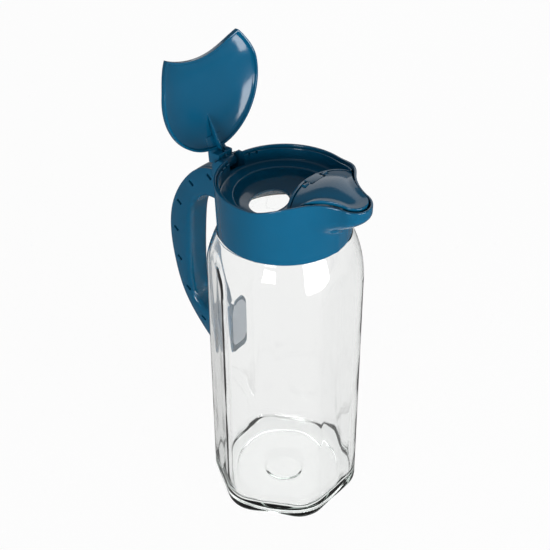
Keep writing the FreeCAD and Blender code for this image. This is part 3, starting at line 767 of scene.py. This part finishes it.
def flap_outline(inset):
    """Points round the flap: forward round the spout, then back along the bridge."""
    radius = flap_edge_radius - inset
    side = [spout_point(i, rim_z + 7.0 * mm, rim_wall + flap_gap + inset) for i in range(ring_count)]
    front = [p for p in side[back_count - 40:] + side[:40]
             if math.hypot(p[0] - bridge_x, p[1]) < radius and abs(p[1]) < 30.0 * mm - inset]
    corner_y = min(30.0 * mm - inset, abs(front[0][1]) + 0.3 * mm)
    lengths = [0.0]
    for a, b in zip(front[:-1], front[1:]):
        lengths.append(lengths[-1] + math.dist(a, b))
    outline = []
    for k in range(flap_side_count):
        wanted = lengths[-1] * k / (flap_side_count - 1)
        j = max(i for i in range(len(lengths) - 1) if lengths[i] <= wanted + 1e-12)
        t = (wanted - lengths[j]) / (lengths[j + 1] - lengths[j])
        outline.append((front[j][0] + (front[j + 1][0] - front[j][0]) * t,
                        front[j][1] + (front[j + 1][1] - front[j][1]) * t))
    swing = math.asin(min(corner_y, radius) / radius)
    for k in range(flap_back_count):
        angle = swing - 2 * swing * (k + 0.5) / flap_back_count
        outline.append((bridge_x - radius * math.cos(angle), radius * math.sin(angle)))
    return outline


def flap_ring(inset, share, shift, skirt=0.0):
    """Ring of the flap, whose edge turns up a little, and whose skirt is deeper in front than at the hinge."""
    ring = []
    for edge_x, edge_y in flap_outline(inset):
        x = flap_middle[0] + (edge_x - flap_middle[0]) * share
        y = edge_y * share
        front = smooth_step((x - 30.0 * mm) / (10.0 * mm))
        rise = 1.4 * mm * front * smooth_step((share - 0.7) / 0.3)
        ring.append((x, y, flap_height(x, y) + rise + shift * mm - skirt * mm * front))
    return ring


# %% Skin of the flap
rings = [flap_ring(0.0, share, 0.0) for share in (0.04, 0.15, 0.3, 0.45, 0.6, 0.72, 0.83, 0.91, 0.965)]
rings += [flap_ring(0.4 * mm, 1, 0), flap_ring(0.12 * mm, 1, -0.1), flap_ring(0, 1, -0.35),
          flap_ring(0.05 * mm, 1, -1.3, 0.9), flap_ring(0.2 * mm, 1, -1.65, 1.0), flap_ring(0.5 * mm, 1, -1.8, 1.0),
          flap_ring(1.3 * mm, 1, -1.8, 1.0), flap_ring(1.5 * mm, 1, -1.8, 0.8)]
rings += [flap_ring(1.6 * mm, share, -1.8) for share in (0.97, 0.9, 0.7, 0.5, 0.3, 0.15, 0.04)]
flap = skin(rings, cap=True)
cut(flap, block((15 * mm, -7.0 * mm, 265 * mm), (28.7 * mm, 7.0 * mm, 290 * mm), bevel=0))
lugs = []
for side in (-1, 1):
    middle_y = side * (7.0 + 2.0) * mm
    select_only()
    bpy.ops.mesh.primitive_cylinder_add(vertices=32, radius=1.9 * mm, depth=4.0 * mm, rotation=(math.pi / 2, 0, 0),
                                        location=(25.5 * mm, middle_y, 275.7 * mm))
    lugs.append(bpy.context.object)
    bpy.ops.object.transform_apply(location=True, rotation=True, scale=True)
flap = join(flap, *lugs)
put_in_place(flap, "pour_flap", blue_plastic, "flap", "blue_plastic", "spout_flap", angle=35)

# %% [markdown]
# ## Handle
# The handle is a hollow bow: two side plates and a rounded inner wall in one moulding, closed from
# behind by a clipped strip. Both follow the same two curves, so each is a section that travels along
# them. Seven snap slots are cut through the side plates, and the strip's tabs show inside them.

# %% Curves of the handle
handle_low, handle_high, handle_reach, web_back = 96.0, 257.0, -102.2, -53.0
outer_shape = [(1.02, 1.0), (0.71, 0.975), (0.43, 0.905), (0.035, 0.673), (0.06, 0.401), (0.21, 0.252),
               (0.47, 0.136), (1.02, -0.02)]
inner_shape = [(1.02, 0.84), (0.73, 0.832), (0.53, 0.78), (0.415, 0.648), (0.37, 0.457), (0.37, 0.333),
               (0.445, 0.245), (0.6, 0.205), (1.02, 0.19)]


def natural_spline(points, per_span=24):
    """Smooth curve through (x, z) points, parted by chord length, as a list of close points."""
    knots = [0.0]
    for a, b in zip(points[:-1], points[1:]):
        knots.append(knots[-1] + math.dist(a, b))
    n = len(points)
    gaps = [knots[i + 1] - knots[i] for i in range(n - 1)]
    bends = []
    for axis in range(2):
        values = [p[axis] for p in points]
        lower, upper, diagonal, right = [0.0] * n, [0.0] * n, [1.0] * n, [0.0] * n
        for i in range(1, n - 1):
            lower[i], upper[i], diagonal[i] = gaps[i - 1], gaps[i], 2 * (gaps[i - 1] + gaps[i])
            right[i] = 6 * ((values[i + 1] - values[i]) / gaps[i] - (values[i] - values[i - 1]) / gaps[i - 1])
        for i in range(1, n):
            factor = lower[i] / diagonal[i - 1]
            diagonal[i] -= factor * upper[i - 1]
            right[i] -= factor * right[i - 1]
        bend = [0.0] * n
        for i in range(n - 1, -1, -1):
            bend[i] = (right[i] - (upper[i] * bend[i + 1] if i < n - 1 else 0.0)) / diagonal[i]
        bends.append(bend)
    curve = []
    for i in range(n - 1):
        for k in range(per_span + (i == n - 2)):
            t, h = gaps[i] * k / per_span, gaps[i]
            point = []
            for axis in range(2):
                a, b = points[i][axis], points[i + 1][axis]
                ma, mb = bends[axis][i], bends[axis][i + 1]
                slope = (b - a) / h - h * (2 * ma + mb) / 6
                point.append(a + slope * t + ma * t * t / 2 + (mb - ma) * t ** 3 / (6 * h))
            curve.append(tuple(point))
    return curve


def handle_curve(shape):
    span, height = web_back - handle_reach, handle_high - handle_low
    return natural_spline([(handle_reach + span * u, handle_low + height * v) for u, v in shape])


def along(curve, share):
    """Point of a curve at a share of its length, and its direction there."""
    lengths = [0.0]
    for a, b in zip(curve[:-1], curve[1:]):
        lengths.append(lengths[-1] + math.dist(a, b))
    wanted = min(max(share, 0.0), 1.0) * lengths[-1]
    j = 0
    while j < len(curve) - 2 and lengths[j + 1] < wanted:
        j += 1
    a, b = curve[j], curve[j + 1]
    t = (wanted - lengths[j]) / (lengths[j + 1] - lengths[j])
    direction = Vector((b[0] - a[0], b[1] - a[1])).normalized()
    return Vector((a[0] + (b[0] - a[0]) * t, a[1] + (b[1] - a[1]) * t)), direction, lengths[-1]


outer_curve, inner_curve = handle_curve(outer_shape), handle_curve(inner_shape)
print("outer curve", round(along(outer_curve, 0)[2], 1), "mm, inner", round(along(inner_curve, 0)[2], 1), "mm")


# %% Sections of the frame and of the strip that closes it
def travel(section, shares):
    """Rings of a section of (depth from outer edge, y) points carried along the handle."""
    rings = []
    for share in shares:
        outer = along(outer_curve, share)[0]
        inner = along(inner_curve, share)[0]
        depth = (inner - outer).length
        inward = (inner - outer).normalized()
        ring = []
        for from_outer, from_inner, y in section:
            reach = depth - from_inner if from_outer is None else from_outer
            spot = outer + inward * reach
            ring.append((spot.x * mm, y * mm, spot.y * mm))
        rings.append(ring)
    return rings


half, wall, inner_round = 10.0, 2.2, 4.5
frame_section = [(0.0, None, -9.7), (0.12, None, -9.88), (0.35, None, -10.0)]
for step in range(9):
    turn = math.radians(90 * step / 8)
    frame_section.append((None, inner_round * (1 - math.sin(turn)), -half + inner_round * (1 - math.cos(turn))))
frame_section += [(d, i, -y) for d, i, y in reversed(frame_section)]
frame_section += [(0.0, None, 8.05), (0.1, None, 7.85), (0.35, None, 7.8), (None, wall, 7.8), (None, wall, -7.8),
                  (0.35, None, -7.8), (0.1, None, -7.85), (0.0, None, -8.05)]
strip_section = [(0.25, None, -7.55), (0.02, None, -7.2), (-0.12, None, -5.0), (-0.2, None, -2.5), (-0.22, None, 0.0)]
strip_section += [(d, i, -y) for d, i, y in reversed(strip_section[:-1])]
strip_section += [(7.2, None, 7.6), (7.2, None, 6.2), (2.2, None, 6.2), (2.2, None, -6.2), (7.2, None, -6.2),
                  (7.2, None, -7.6)]
print(len(frame_section), "points in the frame's section,", len(strip_section), "in the strip's")

# %% Frame of the handle
frame_bow = skin(travel(frame_section, [step / 90 for step in range(91)]), cap=True)
web = block((-53.4 * mm, -10 * mm, 230 * mm), (-48.6 * mm, 10 * mm, 250.7 * mm), 0.5 * mm)


def tongue(outline, half_width, corner, bevel):
    """A plate of (x, z) corners whose four corners, seen from the front, are rounded."""
    item = plate([(x * mm, z * mm) for x, z in outline], -half_width * mm, half_width * mm, 0)
    low, high = min(z for x, z in outline) * mm, max(z for x, z in outline) * mm
    select_only(item)
    bpy.ops.object.mode_set(mode="EDIT")
    bpy.ops.mesh.select_mode(type="EDGE")
    bpy.ops.mesh.select_all(action="DESELECT")
    mesh = bmesh.from_edit_mesh(item.data)
    for edge in mesh.edges:
        a, b = (vertex.co for vertex in edge.verts)
        end = low if a.z < (low + high) / 2 else high
        edge.select_set(abs(a.z - end) + abs(b.z - end) + abs(a.y - b.y) < 0.01 * mm)
    bpy.ops.mesh.bevel(offset=corner * mm, segments=10, affect="EDGES")
    bpy.ops.object.mode_set(mode="OBJECT")
    round_edges(item, bevel * mm)
    return item


foot = tongue([(-50.85, 98.0), (-50.65, 142.0), (-52.3, 142.0), (-56.0, 110.0), (-56.0, 98.0)], 10.0, 5.0, 0.5)
slot_places = [(-59.5, 249.1), (-77.6, 236.9), (-91.0, 215.9), (-96.0, 191.2), (-94.6, 165.9), (-87.2, 141.4),
               (-72.5, 120.0)]
cutters = []
for x, z in slot_places:
    cutter = block((-2.4 * mm, -12 * mm, -1.25 * mm), (2.4 * mm, 12 * mm, 1.25 * mm), 0.3 * mm, 2)
    cutter.data.transform(Matrix.Translation((x * mm, 0, z * mm)) @ Matrix.Rotation(math.radians(37), 4, "Y"))
    cut(frame_bow, cutter)
cut(frame_bow, block((-53.0 * mm, -12 * mm, 90 * mm), (-40 * mm, 12 * mm, 150 * mm), bevel=0))
cut(frame_bow, block((-60 * mm, -12 * mm, 80 * mm), (-40 * mm, 12 * mm, 98 * mm), bevel=0))
cut(frame_bow, block((-56.5 * mm, -12 * mm, 250.8 * mm), (-40 * mm, 12 * mm, 300 * mm), bevel=0))
handle = join(frame_bow, web, foot)
put_in_place(handle, "handle_bow", blue_plastic, "head", "blue_plastic", "handle_frame", angle=35)

# %% Rubber bumper on the foot, which shows through the glass
bumper = tongue([(-50.6, 104.0), (-50.43, 141.0), (-51.4, 141.0), (-51.6, 104.0)], 9.2, 7.0, 0.08)
put_in_place(bumper, "foot_bumper", bumper_rubber, "head", "seal_rubber", angle=35)

# %% Strip that closes the handle, with a tab behind each slot
strip = skin(travel(strip_section, [0.03 + 0.925 * step / 90 for step in range(91)]), cap=True)
tabs = []
for x, z in slot_places:
    for side in (-1, 1):
        low, high = sorted((side * 6.4 * mm, side * 7.9 * mm))
        tab = block((-1.95 * mm, low, -0.7 * mm), (1.95 * mm, high, 0.7 * mm), 0.2 * mm, 2)
        tab.data.transform(Matrix.Translation((x * mm, 0, z * mm)) @ Matrix.Rotation(math.radians(37), 4, "Y"))
        tabs.append(tab)
strip = join(strip, *tabs)
put_in_place(strip, "handle_strip", blue_plastic, "head", "blue_plastic", "handle_spine", angle=35)

# %% [markdown]
# ## Studio
# A pale floor runs out of sight under an even white sky, as on a light table. Large soft lamps give the
# long highlights on the plastic and keep the colours close to how they are written.

# %% Floor and world
def blend_values(tree, factor, first, second):
    """A number between two others, each of them a value or a socket."""
    node = tree.nodes.new("ShaderNodeMix")
    tree.links.new(factor, node.inputs["Factor"])
    for socket, value in (("A", first), ("B", second)):
        if isinstance(value, float):
            node.inputs[socket].default_value = value
        else:
            tree.links.new(value, node.inputs[socket])
    return node.outputs["Result"]


select_only()
bpy.ops.mesh.primitive_plane_add(size=6.0, location=(0, 0, -0.0002))
floor = bpy.context.object
floor.name = "floor"
paper, tree, shader = new_material("paper", Base_Color=(0.86, 0.86, 0.86, 1), Roughness=0.9)
rays = tree.nodes.new("ShaderNodeLightPath")
direct = blend_values(tree, rays.outputs["Is Camera Ray"], 0.0, 0.95)
mirrored = blend_values(tree, rays.outputs["Is Glossy Ray"], direct, 0.9)
share = blend_values(tree, rays.outputs["Transmission Depth"], mirrored, 0.95)
glow = tree.nodes.new("ShaderNodeEmission")
dimmed = blend_values(tree, rays.outputs["Is Glossy Ray"], 1.0, 0.18)
tree.links.new(blend_values(tree, rays.outputs["Transmission Depth"], dimmed, 1.0), glow.inputs["Strength"])
mix = tree.nodes.new("ShaderNodeMixShader")
tree.links.new(share, mix.inputs["Fac"])
tree.links.new(shader.outputs["BSDF"], mix.inputs[1])
tree.links.new(glow.outputs["Emission"], mix.inputs[2])
tree.links.new(mix.outputs["Shader"], tree.nodes["Material Output"].inputs["Surface"])
floor.data.materials.append(paper)

world = bpy.data.worlds.new("studio")
bpy.context.scene.world = world
world.use_nodes = True
tree = world.node_tree
sky = tree.nodes["Background"]
sky.inputs["Color"].default_value = (1, 1, 1, 1)
rays = tree.nodes.new("ShaderNodeLightPath")
place = tree.nodes.new("ShaderNodeTexCoord")
direction = tree.nodes.new("ShaderNodeSeparateXYZ")
tree.links.new(place.outputs["Generated"], direction.inputs["Vector"])
overhead = remap(tree, direction.outputs["Z"], 1.0, 0.5, 0.15, 0.6)
behind_glass = blend_values(tree, rays.outputs["Transmission Depth"], 0.28, overhead)
tree.links.new(blend_values(tree, rays.outputs["Is Camera Ray"], behind_glass, 1.0), sky.inputs["Strength"])
bpy.context.scene.view_settings.view_transform = "Standard"


# %% Lamps
def soft_lamp(name, place, target, width, height, power):
    lamp_data = bpy.data.lights.new(name, "AREA")
    lamp_data.shape = "RECTANGLE"
    lamp_data.size, lamp_data.size_y, lamp_data.energy = width, height, power
    lamp = bpy.data.objects.new(name, lamp_data)
    bpy.context.scene.collection.objects.link(lamp)
    lamp.location = place
    lamp.rotation_euler = (Vector(target) - Vector(place)).to_track_quat("-Z", "Y").to_euler()
    return lamp


soft_lamp("key_lamp", (1.2, -0.04, 0.26), (0, 0, 0.2), 0.8, 0.46, 12.0)
soft_lamp("fill_lamp", (0.39, -1.13, 0.26), (0, 0, 0.2), 0.34, 0.36, 8.0)
soft_lamp("back_lamp", (-0.7, 1.1, 1.0), (0, 0, 0.2), 1.6, 1.0, 6.5)
print("lamps:", len(bpy.data.lights))
